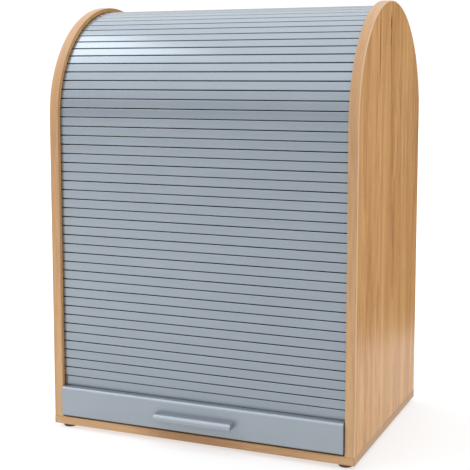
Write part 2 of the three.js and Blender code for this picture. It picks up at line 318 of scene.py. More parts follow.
def along(edge, axis):
    """Whether an edge runs along an axis."""
    start, end = (vert.co for vert in edge.verts)
    return abs((end - start).normalized()[axis]) > 0.999


def at(part, axis, *values):
    """Whether an edge or a face lies at one of some values along an axis."""
    return any(all(abs(vert.co[axis] - value) < NEAR for vert in part.verts) for value in values)


def on(axis, *values):
    """A test for edges or faces at one of some values along an axis."""
    return lambda part: at(part, axis, *values)


def round_edges(obj, test, radius, segments=3):
    """Rounds the edges that pass a test."""
    pick(obj, "EDGE", test)
    bpy.ops.mesh.bevel(offset=radius, offset_type="OFFSET", segments=segments, affect="EDGES")
    leave()


def round_front(obj, front, height, radius, segments):
    """Rounds the long front edge of a piece at one height."""
    round_edges(
        obj,
        lambda edge: along(edge, X) and at(edge, Y, front) and at(edge, Z, height),
        radius,
        segments,
    )


def merge(obj):
    """Joins the points of a piece that lie on each other."""
    pick(obj, "FACE", lambda face: True)
    bpy.ops.mesh.remove_doubles(threshold=MERGE_DISTANCE)
    leave()


def draw_out(reach, tip_share, tip_width, tip):
    """Draws the selected face out into a shank that tapers towards the middle of its tip."""
    for share in (1 - tip_share, tip_share):
        bpy.ops.mesh.extrude_region_move(TRANSFORM_OT_translate={"value": tuple(reach * share)})
    bpy.ops.transform.resize(value=(tip_width,) * 3, center_override=tip)


def modify(obj, kind, **settings):
    """Adds a modifier to a piece and applies it."""
    modifier = obj.modifiers.new(kind.lower(), kind)
    for name, value in settings.items():
        setattr(modifier, name, value)
    activate(obj)
    bpy.ops.object.modifier_apply(modifier=modifier.name)


def shape_with(obj, tool, operation="DIFFERENCE"):
    """Cuts a tool out of a piece, or joins it on, and removes the tool."""
    modify(obj, "BOOLEAN", operation=operation, object=tool, solver="EXACT")
    bpy.data.meshes.remove(tool.data)
    if not obj.data.polygons:
        raise RuntimeError(f"nothing is left of {obj.name}")
    return obj


def arch_block(name, radius, x_low, x_high, bottom, steps):
    """A block with a half-round top that follows the panels' arch."""
    top = ARCH_Z + radius
    obj = block(name, (x_low, ARCH_Y - radius, bottom), (x_high, ARCH_Y + radius, top))
    round_edges(obj, lambda edge: along(edge, X) and at(edge, Z, top), radius, steps)
    merge(obj)
    return obj


def place(obj, body, slot, finish, *nodes):
    """Gives a piece its named finish and smooth shading, and lets it stand for its CAD nodes."""
    activate(obj)
    bpy.ops.object.shade_smooth_by_angle(angle=math.radians(SMOOTH_ANGLE))
    modify(obj, "WEIGHTED_NORMAL", keep_sharp=True)
    obj.data.materials.clear()
    obj.data.materials.append(finish_named(finish))
    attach(obj, body)
    if not nodes:
        return
    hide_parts(*nodes)
    points = [vert.co for vert in obj.data.vertices]
    for axis in (X, Y, Z):
        low = min(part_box(node)[0][axis] for node in nodes)
        high = max(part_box(node)[1][axis] for node in nodes)
        spread = (min(p[axis] for p in points) - low, max(p[axis] for p in points) - high)
        if max(map(abs, spread)) > PLACE_TOLERANCE:
            raise RuntimeError(f"{obj.name} is {spread} off its CAD node along axis {axis}")


def place_both(right, body, slot, finish, *nodes):
    """Places a piece on the right and its mirror image on the left."""
    left = mirrored(right, right.name.replace("right", "left"))
    place(right, body, slot, finish, *nodes)
    place(left, body, slot, finish, *(node.replace("right", "left") for node in nodes))


# ---- material helpers ----


def arithmetic(operation, swapped=False):
    """An operator of a varying value, which adds a Math node."""

    def apply(value, other):
        inputs = {0: other, 1: value} if swapped else {0: value, 1: other}
        return value.finish.node("ShaderNodeMath", {"operation": operation}, inputs)

    return apply


class Value:
    """A number or colour that varies over a surface."""

    def __init__(self, finish, socket):
        self.finish = finish
        self.socket = socket

    __add__ = arithmetic("ADD")
    __radd__ = arithmetic("ADD", swapped=True)
    __sub__ = arithmetic("SUBTRACT")
    __rsub__ = arithmetic("SUBTRACT", swapped=True)
    __mul__ = arithmetic("MULTIPLY")
    __rmul__ = arithmetic("MULTIPLY", swapped=True)


class Nodes:
    """A node tree and the one shader node that its values vary."""

    def __init__(self, owner, shader_type):
        owner.use_nodes = True
        self.tree = owner.node_tree
        self.shader = next(node for node in self.tree.nodes if node.type == shader_type)

    def node(self, kind, settings, inputs, output=0):
        """Adds a node, sets it up, fills its sockets and returns one of its outputs."""
        made = self.tree.nodes.new(kind)
        for name, value in settings.items():
            setattr(made, name, value)
        for key, value in inputs.items():
            if isinstance(value, Value):
                self.tree.links.new(value.socket, made.inputs[key])
            else:
                made.inputs[key].default_value = value
        return Value(self, made.outputs[output])

    def part(self, place, axis):
        """One of the three numbers of a place."""
        return self.node("ShaderNodeSeparateXYZ", {}, {"Vector": place}, axis)

    def varies(self, socket, value):
        """Lets a value drive one of the shader's own sockets."""
        self.tree.links.new(value.socket, self.shader.inputs[socket])

    def ramp(self, value, low, high):
        """A smooth step from 0 at low to 1 at high."""
        steps = {"Value": value, "From Min": low, "From Max": high}
        return self.node("ShaderNodeMapRange", {"interpolation_type": "SMOOTHSTEP"}, steps)


class Finish(Nodes):
    """A material with one Principled shader and the nodes that vary it."""

    def __init__(self, name, **constants):
        self.material = bpy.data.materials.new(name)
        super().__init__(self.material, "BSDF_PRINCIPLED")
        for socket, value in constants.items():
            self.shader.inputs[socket.replace("_", " ")].default_value = value

    def place(self):
        """Object coordinates, in metres."""
        return self.node("ShaderNodeTexCoord", {}, {}, 3)

    def attribute(self, name, output):
        return self.node("ShaderNodeAttribute", {"attribute_name": name}, {}, output)

    def vector(self, operation, inputs, output=0):
        return self.node("ShaderNodeVectorMath", {"operation": operation}, inputs, output)

    def stretched(self, place, scale, turn=(0, 0, 0)):
        inputs = {"Vector": place, "Rotation": turn, "Scale": scale}
        return self.node("ShaderNodeMapping", {}, inputs)

    def noise(self, place, scale, detail=2.0, roughness=0.5):
        """Noise from 0 to 1, with scale in waves per metre along X, Y and Z."""
        where = self.stretched(place, scale)
        inputs = {"Vector": where, "Scale": 1, "Detail": detail, "Roughness": roughness}
        return self.node("ShaderNodeTexNoise", {}, inputs)

    def mix(self, share, first, second):
        """A colour between two, each a colour value or three numbers."""
        ends = [end if isinstance(end, Value) else (*end, 1) for end in (first, second)]
        inputs = {0: share, 6: ends[0], 7: ends[1]}
        return self.node("ShaderNodeMix", {"data_type": "RGBA"}, inputs, 2)

    def bump(self, height, distance, strength=1.0):
        values = {"Strength": strength, "Distance": distance, "Height": height}
        self.varies("Normal", self.node("ShaderNodeBump", {}, values))


def shift(finish, place, along_x, along_y):
    """Moves places sideways by two varying distances in metres."""
    offset = finish.node("ShaderNodeCombineXYZ", {}, {"X": along_x, "Y": along_y, "Z": 0})
    return finish.vector("ADD", {0: place, 1: offset})


def add_grain(finish, place, light, dark, pore, lines=1.0):
    """Oak grain along Z: broad and fine streaks, growth lines, flecks and short pores."""
    sway = (finish.noise(place, (9, 9, 2.1), 2) - 0.5) * 0.03
    bent = shift(finish, place, sway, sway)
    broad = finish.ramp(finish.noise(bent, (26, 26, 1.2), 3), 0.36, 0.64)
    streaks = finish.noise(bent, (120, 120, 3.5), 4, 0.65)
    fibres = finish.noise(bent, (600, 600, 22), 3, 0.65)
    rings = finish.noise(bent, (15, 15, 0.9), 1.5) * 5
    ring = finish.node("ShaderNodeMath", {"operation": "FRACT"}, {0: rings})
    late = finish.ramp(ring, 0.45, 1.0) * finish.ramp(streaks, 0.25, 0.6)
    patches = finish.ramp(finish.noise(place, (20, 20, 2.5), 1), 0.4, 0.56)
    flecks = finish.ramp(finish.noise(bent, (340, 340, 14), 3), 0.48, 0.66) * patches
    pores = finish.ramp(finish.noise(bent, (1500, 1500, 55), 1), 0.62, 0.76)
    tint = broad * 0.3 + finish.ramp(streaks, 0.3, 0.7) * 0.3 + (fibres - 0.5) * 0.9 + 0.2
    dark_marks = late * 0.26 + flecks * 0.4 + pores * 0.3
    height = streaks * 0.3 + fibres * 0.5 - pores * 0.8 - late * 0.2
    return finish.mix(dark_marks * lines, finish.mix(tint, dark, light), pore), height


def add_marks(finish, place, tint, marks, dark):
    """Darkens ragged ovals in the oak."""
    for (across, up), (half_width, half_height), depth in marks:
        middle = (0, across, up)
        centred = finish.vector("SUBTRACT", {0: place, 1: middle})
        sized = finish.stretched(centred, (0, 1 / half_width, 1 / half_height))
        reach = finish.vector("LENGTH", {0: sized}, 1)
        ragged = finish.noise(place, (700, 700, 60), 3)
        mark = finish.ramp(reach + ragged * 0.7, 1.5, 0.6)
        tint = finish.mix(mark * depth, tint, dark)
    return tint


def scaled(base, factor):
    """A lighter or darker tone of a colour."""
    return tuple(min(1, value * factor) for value in base)


def oak(name, tones, turn=(0, 0, 0), marks=()):
    """Satin oak decor with its grain along Z before the turn."""
    finish = Finish(name, Roughness=0.25, IOR=1.16)
    place = finish.stretched(finish.place(), (1, 1, 1), turn)
    tint, height = add_grain(finish, place, tones.oak_light, tones.oak_dark, tones.oak_pore)
    tint = add_marks(finish, place, tint, marks, tones.oak_pore)
    finish.varies("Base Color", tint)
    finish.varies("Roughness", 0.22 + height * 0.08)
    finish.bump(height, 0.00012, 0.35)
    return finish.material


def edge_oak(tones):
    """The edge bands' plainer oak, with the grain running along the band and a painted highlight
    along the outer arris.
    """
    finish = Finish("oak_edge_band", Roughness=0.45, IOR=1.5)
    place = finish.attribute("grain", 1)
    tint, height = add_grain(finish, place, tones.band_light, tones.band_dark, tones.oak_pore, 0.45)
    tint = add_marks(finish, place, tint, BASE_FRONT_MARKS, tones.oak_pore)
    # Painted highlight: a pale cream line along the outer arris, where the rounded edge catches the
    # light.
    pale = finish.ramp(finish.attribute("arris", 2), 0.0, 1.0) * 0.38
    finish.varies("Base Color", finish.mix(pale, tint, tones.band_arris_highlight))
    finish.varies("Roughness", 0.43 + height * 0.08)
    finish.bump(height, 0.0001, 0.3)
    return finish.material


def silver_plastic(name, base, roughness, streak=0.1, seam=False):
    """Satin silver-grey plastic with faint drawn streaks along X; with seam, painted shade deep in
    the gaps between slats.
    """
    finish = Finish(name, Roughness=roughness, Metallic=0.7, IOR=1.5)
    place = finish.place()
    drawn = finish.noise(place, (5, 900, 900), 3, 0.6)
    clouds = finish.noise(place, (14, 40, 40), 2)
    share = 0.5 + (drawn - 0.5) * (6 * streak) + (clouds - 0.5) * 0.4
    tint = finish.mix(share, scaled(base, 0.86), scaled(base, 1.1))
    if seam:
        # Painted shade: deep in the gaps between slats the colour turns near black and loses its
        # metal, standing in for the shade that falls there.
        depth = finish.attribute("depth", 2)
        tint = finish.mix(finish.ramp(depth, 0.0008, 0.0024), tint, (0.02, 0.022, 0.025))
        finish.varies("Metallic", 0.7 - finish.ramp(depth, 0.0008, 0.002) * 0.7)
    finish.varies("Base Color", tint)
    finish.varies("Roughness", roughness - 0.03 + drawn * 0.06)
    finish.bump(drawn, 0.00001, 0.3)
    return finish.material


def pressed_board(base):
    """Brown hardboard with a fibrous face."""
    finish = Finish("fibre_board", Roughness=0.7)
    place = finish.place()
    fibres = finish.noise(place, (420, 420, 420), 5, 0.7)
    blotches = finish.noise(place, (24, 24, 24), 3)
    share = fibres * 0.6 + blotches * 0.4
    finish.varies("Base Color", finish.mix(share, scaled(base, 0.72), base))
    finish.varies("Roughness", 0.6 + fibres * 0.25)
    finish.bump(fibres, 0.0002, 0.4)
    return finish.material


def moulded(name, base, roughness):
    """Moulded plastic or rubber with a fine pitted skin."""
    finish = Finish(name, Roughness=roughness)
    place = finish.place()
    pits = finish.noise(place, (1800, 1800, 1800), 2)
    clouds = finish.noise(place, (120, 120, 120), 2)
    finish.varies("Base Color", finish.mix(clouds * 0.6, base, scaled(base, 1.5)))
    finish.varies("Roughness", roughness - 0.1 + pits * 0.2)
    finish.bump(pits, 0.0001, 0.4)
    return finish.material


def zinc_steel(base):
    """Zinc-plated steel with a cloudy, faintly scratched skin."""
    finish = Finish("zinc_steel", Roughness=0.32, Metallic=1.0)
    place = finish.place()
    clouds = finish.noise(place, (500, 500, 500), 3)
    finish.varies("Base Color", finish.mix(clouds, scaled(base, 0.8), base))
    finish.varies("Roughness", 0.22 + clouds * 0.25)
    finish.bump(clouds, 0.00004, 0.3)
    return finish.material


def finish_named(name):
    """The material of that name, made the first time it is asked for."""
    if name in bpy.data.materials:
        return bpy.data.materials[name]
    tones = bpy.context.scene.bread_cabinet_finishes
    makers = {
        "oak_side_panel": lambda: oak(name, tones, marks=PANEL_MARKS),
        "oak_board": lambda: oak(name, tones, turn=(0, math.pi / 2, 0)),
        "oak_edge_band": lambda: edge_oak(tones),
        # The slats' finish paints shade into the gaps between slats.
        "silver_slat": lambda: silver_plastic(name, tones.slat, 0.24, seam=True),
        "silver_bar": lambda: silver_plastic(name, tones.bar, 0.38, streak=0.06),
        "fibre_board": lambda: pressed_board(tones.hardboard),
        "glide_plastic": lambda: moulded(name, tones.foot, 0.4),
        "pad_rubber": lambda: moulded(name, tones.rubber, 0.7),
        "zinc_steel": lambda: zinc_steel(tones.steel),
    }
    return makers[name]()


# ---- operators, one for each group of pieces ----


class CABINET_OT_side_panels(bpy.types.Operator):
    """Models the two arched side panels with their shutter grooves and shelf pin holes"""

    bl_idname = "bread_cabinet.side_panels"
    bl_label = "Side panels"

    def execute(self, context):
        sizes = context.scene.bread_cabinet_sizes
        steps = sizes.arch_steps
        radius = ARCH_RADIUS - BAND_THICKNESS
        panel = arch_block("oak_panel_right", radius, INNER_HALF, OUTER_HALF, PANEL_LOW.z, steps)
        round_edges(
            panel, lambda edge: at(edge, X, OUTER_HALF) and at(edge, Z, PANEL_LOW.z), SEAM_ROUND
        )
        start = INNER_HALF - CUT_MARGIN
        end = INNER_HALF + sizes.groove_depth
        bottom = PANEL_LOW.z - CUT_MARGIN
        half = sizes.groove_width / 2
        groove = arch_block("groove", TRACK_RADIUS + half, start, end, bottom, steps)
        start -= CUT_MARGIN
        end += CUT_MARGIN
        bottom -= CUT_MARGIN
        core = arch_block("core", TRACK_RADIUS - half, start, end, bottom, steps)
        shape_with(panel, shape_with(groove, core))
        shape_with(panel, self.pin_holes(sizes))
        place_both(panel, "cabinet", "oak", "oak_side_panel", "side_panel_right")
        return {"FINISHED"}

    def pin_holes(self, sizes):
        """The rows of holes that shelf pins fit into, as one tool."""
        front = middle_of("shelf_pin_front_right")
        rear = middle_of("shelf_pin_rear_right")
        first_z = front.z - sizes.pin_row_in_use * sizes.pin_row_step
        start, end = INNER_HALF - CUT_MARGIN, INNER_HALF + sizes.pin_shank + CUT_MARGIN
        lowest = (0, front.y, first_z)
        holes = rod("pin_holes", sizes.pin_radius + FIT_GAP, lowest, X, start, end, sides=20)
        upwards = (sizes.pin_rows, (0, 0, sizes.pin_row_step))
        backwards = (2, (0, rear.y - front.y, 0))
        for copies, step in (upwards, backwards):
            modify(
                holes,
                "ARRAY",
                count=copies,
                use_relative_offset=False,
                use_constant_offset=True,
                constant_offset_displace=step,
            )
        return holes


def mark(obj, name, kind, measure):
    """Stores a measure of each point of a piece, which its material reads."""
    attribute = obj.data.attributes.new(name, kind, "POINT")
    field = "vector" if kind == "FLOAT_VECTOR" else "value"
    for vert in obj.data.vertices:
        setattr(attribute.data[vert.index], field, measure(vert.co))


def mark_grain(obj, coordinate):
    """Stores each point's place in the grain, in metres: across, deep and along."""
    mark(obj, "grain", "FLOAT_VECTOR", coordinate)


def along_arch(point):
    """Grain place of a point on a band that runs up the front, over and down the back."""
    side, high = point.y - ARCH_Y, point.z - ARCH_Z
    if high < 0:
        distance = high if side < 0 else math.pi * ARCH_RADIUS - high
    else:
        distance = math.atan2(high, -side) * ARCH_RADIUS
    return (point.x, 0, distance)


class CABINET_OT_edge_bands(bpy.types.Operator):
    """Models the thin bands along the panels' edges and the base board's front edge"""

    bl_idname = "bread_cabinet.edge_bands"
    bl_label = "Edge bands"

    def execute(self, context):
        sizes = context.scene.bread_cabinet_sizes
        self.arched_bands(sizes)

        low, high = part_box("base_edge_band")
        front = block("base_band_oak", low, high)
        round_edges(front, on(Y, low.y), sizes.band_round)
        mark_grain(front, lambda point: (point.z, BASE_FRONT_GRAIN, point.x))
        place(front, "cabinet", "oak_edge", "oak_edge_band", "base_edge_band")

        outside = high.x + sizes.end_band
        far = (outside, BOARD_HIGH.y, high.z)
        right = block("base_end_band_right", (high.x, low.y, low.z), far)
        round_edges(right, on(X, outside), sizes.end_band * 0.8)
        mark_grain(right, lambda point: (point.z, BASE_END_GRAIN, point.y))
        place_both(right, "cabinet", "oak_edge", "oak_edge_band")
        return {"FINISHED"}

    def arched_bands(self, sizes):
        """The bands that run up the front, over and down the back of the side panels."""
        name, bottom, steps = "edge_band_oak_right", BAND_LOW.z, sizes.arch_steps
        right = arch_block(name, ARCH_RADIUS, INNER_HALF, OUTER_HALF, bottom, steps)
        round_edges(
            right,
            lambda edge: at(edge, X, INNER_HALF, OUTER_HALF) and not at(edge, Z, bottom),
            sizes.band_round,
        )
        start, end = INNER_HALF - CUT_MARGIN, OUTER_HALF + CUT_MARGIN
        inside = ARCH_RADIUS - BAND_THICKNESS
        shape_with(right, arch_block("core", inside, start, end, bottom - CUT_MARGIN, steps))
        mark_grain(right, along_arch)
        # Points on the outer arris, which the band finish paints with a pale highlight line.
        highlighted = OUTER_HALF - sizes.band_round * 0.7
        mark(right, "arris", "FLOAT", lambda point: float(point.x > highlighted))
        place_both(right, "cabinet", "oak_edge", "oak_edge_band", "edge_band_right")


class CABINET_OT_base_and_feet(bpy.types.Operator):
    """Models the base board with its nail holes and the four feet"""

    bl_idname = "bread_cabinet.base_and_feet"
    bl_label = "Base board and feet"

    def execute(self, context):
        sizes = context.scene.bread_cabinet_sizes
        feet = sorted(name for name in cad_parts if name.startswith("foot_"))
        board = block("base_board_oak", BOARD_LOW, BOARD_HIGH)
        round_edges(board, lambda edge: not at(edge, Y, BOARD_LOW.y), SEAM_ROUND)
        first = self.foot(sizes, feet[0])
        hole_radius = sizes.nail_radius + FIT_GAP
        for name in feet:
            middle = middle_of(name)
            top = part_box(name)[1].z + FIT_GAP
            bottom = BOARD_LOW.z - CUT_MARGIN
            shape_with(board, rod("nail_hole", hole_radius, middle, Z, bottom, top, sides=16))
            glide = twin(first, name.replace("foot", "glide"))
            glide.location = (middle.x, middle.y, 0)
            settle(glide)
            place(glide, "cabinet", "foot_plastic", "glide_plastic", name)
        bpy.data.meshes.remove(first.data)
        place(board, "cabinet", "oak", "oak_board", "base_board")
        return {"FINISHED"}

    def foot(self, sizes, node):
        """A glide with a rounded rim, a ring under it and a pointed nail, above the origin."""
        low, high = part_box(node)
        radius = (high.x - low.x) / 2
        sole_top = BOARD_LOW.z
        foot = rod("foot", radius, (0, 0, 0), Z, 0, sole_top, sides=48)
        round_edges(foot, on(Z, 0), FOOT_RIM_ROUND, segments=5)
        pick(foot, "FACE", on(Z, sole_top))
        bpy.ops.mesh.inset(thickness=radius - sizes.nail_radius, depth=0)
        nail = Vector((0, 0, high.z - sole_top))
        draw_out(nail, NAIL_TIP_SHARE, NAIL_TIP_WIDTH, (0, 0, high.z))
        leave()
        pick(foot, "FACE", on(Z, 0))
        bpy.ops.mesh.inset(thickness=FOOT_RING_INSET, depth=0)
        bpy.ops.mesh.inset(thickness=FOOT_RING_WIDTH, depth=-FOOT_RING_DEPTH)
        leave()
        outer = radius * 0.9
        round_edges(
            foot,
            lambda edge: at(edge, Z, sole_top) and edge.verts[0].co.xy.length > outer,
            FOOT_TOP_ROUND,
            segments=2,
        )
        return foot


class CABINET_OT_inside(bpy.types.Operator):
    """Models the back boards, the rear rail, the shelf and its pins"""

    bl_idname = "bread_cabinet.inside"
    bl_label = "Backs, rail, shelf and pins"

    def execute(self, context):
        sizes = context.scene.bread_cabinet_sizes
        for name in ("inner_back", "outer_back"):
            board = block(f"{name}_board", *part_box(name))
            round_edges(board, lambda edge: True, BOARD_ROUND, segments=2)
            place(board, "cabinet", "hardboard", "fibre_board", name)
        rail = block("rear_rail_oak", *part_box("rear_rail"))
        round_edges(rail, lambda edge: True, BOARD_ROUND, segments=2)
        place(rail, "cabinet", "oak", "oak_board", "rear_rail")
        self.shelf(sizes)
        self.pins(sizes)
        return {"FINISHED"}

    def shelf(self, sizes):
        """The shelf board, with a thin band on its front edge."""
        low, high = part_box("shelf")
        seam = low.y + BAND_THICKNESS
        board = block("shelf_board", low, high)
        round_edges(board, lambda edge: not at(edge, Y, low.y), BOARD_ROUND, segments=2)
        margin = Vector((CUT_MARGIN, CUT_MARGIN, CUT_MARGIN))
        cut_high = Vector((high.x, seam - CUT_MARGIN, high.z)) + margin
        shape_with(board, block("front_cut", low - margin, cut_high))
        place(board, "cabinet", "oak", "oak_board")
        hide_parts("shelf")
        band = block("shelf_front_band", low, (high.x, seam, high.z))
        round_edges(band, on(Y, low.y), BOARD_ROUND, segments=2)
        mark_grain(band, lambda point: (point.z, SHELF_FRONT_GRAIN, point.x))
        place(band, "cabinet", "oak_edge", "oak_edge_band")

    def pins(self, sizes):
        """Turned steel pins: a head under the shelf and a shank in the panel."""
        for end in ("front", "rear"):
            low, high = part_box(f"shelf_pin_{end}_right")
            middle = (low + high) / 2
            radius = (high.z - low.z) / 2
            head_end = high.x - sizes.pin_shank
            pin = rod(f"steel_pin_{end}_right", radius, middle, X, low.x, head_end)
            round_edges(pin, on(X, low.x), PIN_HEAD_ROUND)
            pick(pin, "FACE", on(X, head_end))
            bpy.ops.mesh.inset(thickness=radius - sizes.pin_radius, depth=0)
            shank = (sizes.pin_shank, 0, 0)
            bpy.ops.mesh.extrude_region_move(TRANSFORM_OT_translate={"value": shank})
            leave()
            round_edges(pin, on(X, high.x), PIN_END_ROUND, segments=2)
            place_both(pin, "cabinet", "steel", "zinc_steel", f"shelf_pin_{end}_right")


class CABINET_OT_closing_bar(bpy.types.Operator):
    """Models the closing bar with its guide tabs, the lead slat above it and the bumpers below"""

    bl_idname = "bread_cabinet.closing_bar"
    bl_label = "Closing bar and bumpers"

    def execute(self, context):
        sizes = context.scene.bread_shutter_sizes
        self.bar(sizes)

        low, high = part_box("lead_slat")
        lead = block("silver_lead_slat", low, high)
        round_edges(lead, lambda edge: along(edge, X) and at(edge, Y, low.y), LEAD_ROUND)
        place(lead, "bar", "slat_plastic", "silver_slat", "lead_slat")

        for side in ("left", "right"):
            low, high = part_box(f"bumper_{side}")
            middle = (low + high) / 2
            radius = (high.x - low.x) / 2
            pad = rod(f"rubber_pad_{side}", radius, middle, Z, low.z, high.z)
            round_edges(pad, on(Z, high.z), BUMPER_ROUND, segments=4)
            place(pad, "cabinet", "bumper_rubber", "pad_rubber", f"bumper_{side}")
        return {"FINISHED"}

    def bar(self, sizes):
        """The bar with rounded front edges, a guide tab at each end and two screw holes."""
        half = INNER_HALF - sizes.bar_end_gap
        bar = block("silver_bar", (-half, BAR_LOW.y, BAR_LOW.z), (half, BAR_HIGH.y, BAR_HIGH.z))
        round_front(bar, BAR_LOW.y, BAR_HIGH.z, sizes.bar_top_round, segments=8)
        round_front(bar, BAR_LOW.y, BAR_LOW.z, sizes.bar_bottom_round, segments=8)
        back = BAR_HIGH.y
        round_edges(
            bar, lambda edge: at(edge, X, -half, half) and not at(edge, Y, back), BAR_END_ROUND
        )
        tab = block(
            "tab",
            (BAR_LOW.x, BAR_HIGH.y - SLAT_THICKNESS, sizes.tab_bottom),
            (BAR_HIGH.x, BAR_HIGH.y, sizes.tab_top),
        )
        tab_ends = (BAR_LOW.x, BAR_HIGH.x)
        round_edges(tab, on(X, *tab_ends), TAB_ROUND, segments=2)
        shape_with(bar, tab, "UNION")
        for side in ("left", "right"):
            low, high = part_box(f"handle_screw_{side}")
            middle = (low + high) / 2
            start, end = BAR_LOW.y - CUT_MARGIN, back + CUT_MARGIN
            shank_radius = sizes.screw_radius + FIT_GAP
            shape_with(bar, rod("shank_hole", shank_radius, middle, Y, start, end, sides=24))
            seat = high.y - sizes.screw_head - FIT_GAP
            head_radius = (high.x - low.x) / 2 + FIT_GAP
            shape_with(bar, rod("head_hole", head_radius, middle, Y, seat, end))
        place(bar, "bar", "bar_plastic", "silver_bar", "closing_bar")


class CABINET_OT_handle(bpy.types.Operator):
    """Models the hollow pull handle with its two bosses and the screws that hold it"""

    bl_idname = "bread_cabinet.handle"
    bl_label = "Pull handle and screws"

    def execute(self, context):
        sizes = context.scene.bread_shutter_sizes
        low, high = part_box("pull_handle")
        wall = sizes.handle_wall
        handle = block("silver_handle", low, high)
        round_front(handle, low.y, high.z, sizes.handle_nose, segments=10)
        round_front(handle, low.y, low.z, HANDLE_LIP, segments=4)
        round_edges(
            handle,
            lambda edge: at(edge, X, low.x, high.x) and not at(edge, Y, high.y),
            HANDLE_CORNER,
            segments=6,
        )
        screws = [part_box(f"handle_screw_{side}") for side in ("left", "right")]
        middles = [(a + b) / 2 for a, b in screws]
        half_boss = sizes.boss_width / 2
        stops = [low.x + wall]
        for middle in middles:
            stops += [middle.x - half_boss, middle.x + half_boss]
        stops.append(high.x - wall)
        face = low.y + wall
        for start, end in zip(stops[::2], stops[1::2]):
            hollow_high = (end, high.y + CUT_MARGIN, high.z - wall)
            hollow = block("hollow", (start, face, low.z - CUT_MARGIN), hollow_high)
            round_edges(
                hollow,
                lambda edge: along(edge, Z) and at(edge, Y, face),
                HOLLOW_CORNER,
                segments=4,
            )
            shape_with(handle, hollow)
        pilot_radius = sizes.screw_radius + FIT_GAP
        mouth = high.y + CUT_MARGIN
        for (screw_low, _), middle in zip(screws, middles):
            deep = screw_low.y - FIT_GAP
            shape_with(handle, rod("pilot", pilot_radius, middle, Y, mouth, deep, sides=24))
        place(handle, "bar", "bar_plastic", "silver_bar", "pull_handle")

        for side, (low, high) in zip(("left", "right"), screws):
            self.screw(sizes, side, low, high)
        return {"FINISHED"}

    def screw(self, sizes, side, low, high):
        """A pan-head screw with a cross recess, its head towards the inside."""
        middle = (low + high) / 2
        seat = high.y - sizes.screw_head
        radius = (high.x - low.x) / 2
        screw = rod(f"steel_screw_{side}", radius, middle, Y, seat, high.y)
        round_edges(screw, on(Y, high.y), SCREW_HEAD_ROUND, segments=4)
        pick(screw, "FACE", on(Y, seat))
        bpy.ops.mesh.inset(thickness=radius - sizes.screw_radius, depth=0)
        shank = Vector((0, low.y - seat, 0))
        draw_out(shank, SCREW_TIP_SHARE, SCREW_TIP_WIDTH, (middle.x, low.y, middle.z))
        leave()
        arm, width = RECESS_LENGTH, RECESS_WIDTH
        floor = high.y - RECESS_DEPTH
        for across, up in ((arm, width), (width, arm)):
            start = (middle.x - across, floor, middle.z - up)
            end = (middle.x + across, high.y + CUT_MARGIN, middle.z + up)
            shape_with(screw, block("recess", start, end))
        place(screw, "bar", "steel", "zinc_steel", f"handle_screw_{side}")


class CABINET_OT_shutter(bpy.types.Operator):
    """Models the pairs of slats that make up the shutter"""

    bl_idname = "bread_cabinet.shutter"
    bl_label = "Shutter slats"

    def execute(self, context):
        sizes = context.scene.bread_shutter_sizes
        pattern = self.straight_pair(sizes)
        arc = math.pi * TRACK_RADIUS
        first = SLAT_LOW.z - SLAT_GAP / 2 + SLAT_PITCH / 2 - ARCH_Z
        for index, node in enumerate(PAIRS):
            start = first + 2 * index * SLAT_PITCH
            reaches = (start, start + SLAT_PITCH)
            turns = [min(max(reach, 0), arc) / TRACK_RADIUS for reach in reaches]
            pair = twin(pattern, node.replace("slat_pair", "silver_slats"))
            self.bend(pair, turns[1] - turns[0])
            self.set_on_track(pair, start, turns[0])
            body = node.replace("slat_pair", "slats")
            place(pair, body, "slat_plastic", "silver_slat", node)
        bpy.data.meshes.remove(pattern.data)
        return {"FINISHED"}

    def straight_pair(self, sizes):
        """Two slats joined by a web, the lower one about the origin, facing -Y."""
        half_width = SLAT_HIGH.x
        back, front = SLAT_THICKNESS / 2, -SLAT_THICKNESS / 2
        face = back - sizes.web_thickness
        half = (SLAT_PITCH - SLAT_GAP) / 2
        top = SLAT_PITCH + half
        pair = block("slat_pattern", (-half_width, face, -half), (half_width, back, top))
        for height in (half, SLAT_PITCH - half):
            pick(pair, "FACE", lambda part: True)
            bpy.ops.mesh.bisect(plane_co=(0, 0, height), plane_no=(0, 0, 1))
            leave()

        def is_slat(part):
            in_web = half < part.calc_center_median().z < SLAT_PITCH - half
            return at(part, Y, face) and not in_web

        pick(pair, "FACE", is_slat)
        forwards = (0, front - face, 0)
        bpy.ops.mesh.extrude_region_move(TRANSFORM_OT_translate={"value": forwards})
        leave()
        for height in (half, top):
            round_front(pair, front, height, sizes.upper_round, segments=4)
        for height in (-half, SLAT_PITCH - half):
            round_front(pair, front, height, sizes.lower_round, segments=3)
        # Depth below the slat face, which the slat finish turns into painted shade in the gaps.
        mark(pair, "depth", "FLOAT", lambda point: point.y - front)
        return pair

    def bend(self, pair, turn):
        """Folds the upper slat back about the middle of the web."""
        if not turn:
            return
        pivot = SLAT_PITCH / 2
        pick(pair, "FACE", lambda part: all(vert.co.z > pivot for vert in part.verts))
        bpy.ops.transform.rotate(value=turn, orient_axis="X", center_override=(0, 0, pivot))
        leave()

    def set_on_track(self, pair, distance, turn):
        """Moves a pair along the groove, which runs up the front, over and down the back."""
        past_arch = math.pi * TRACK_RADIUS - distance
        straight = distance if distance < 0 else min(0, past_arch)
        side, high = -TRACK_RADIUS * math.cos(turn), TRACK_RADIUS * math.sin(turn)
        pair.location = (0, ARCH_Y + side, ARCH_Z + high + straight)
        pair.rotation_euler = (-turn, 0, 0)
        settle(pair)


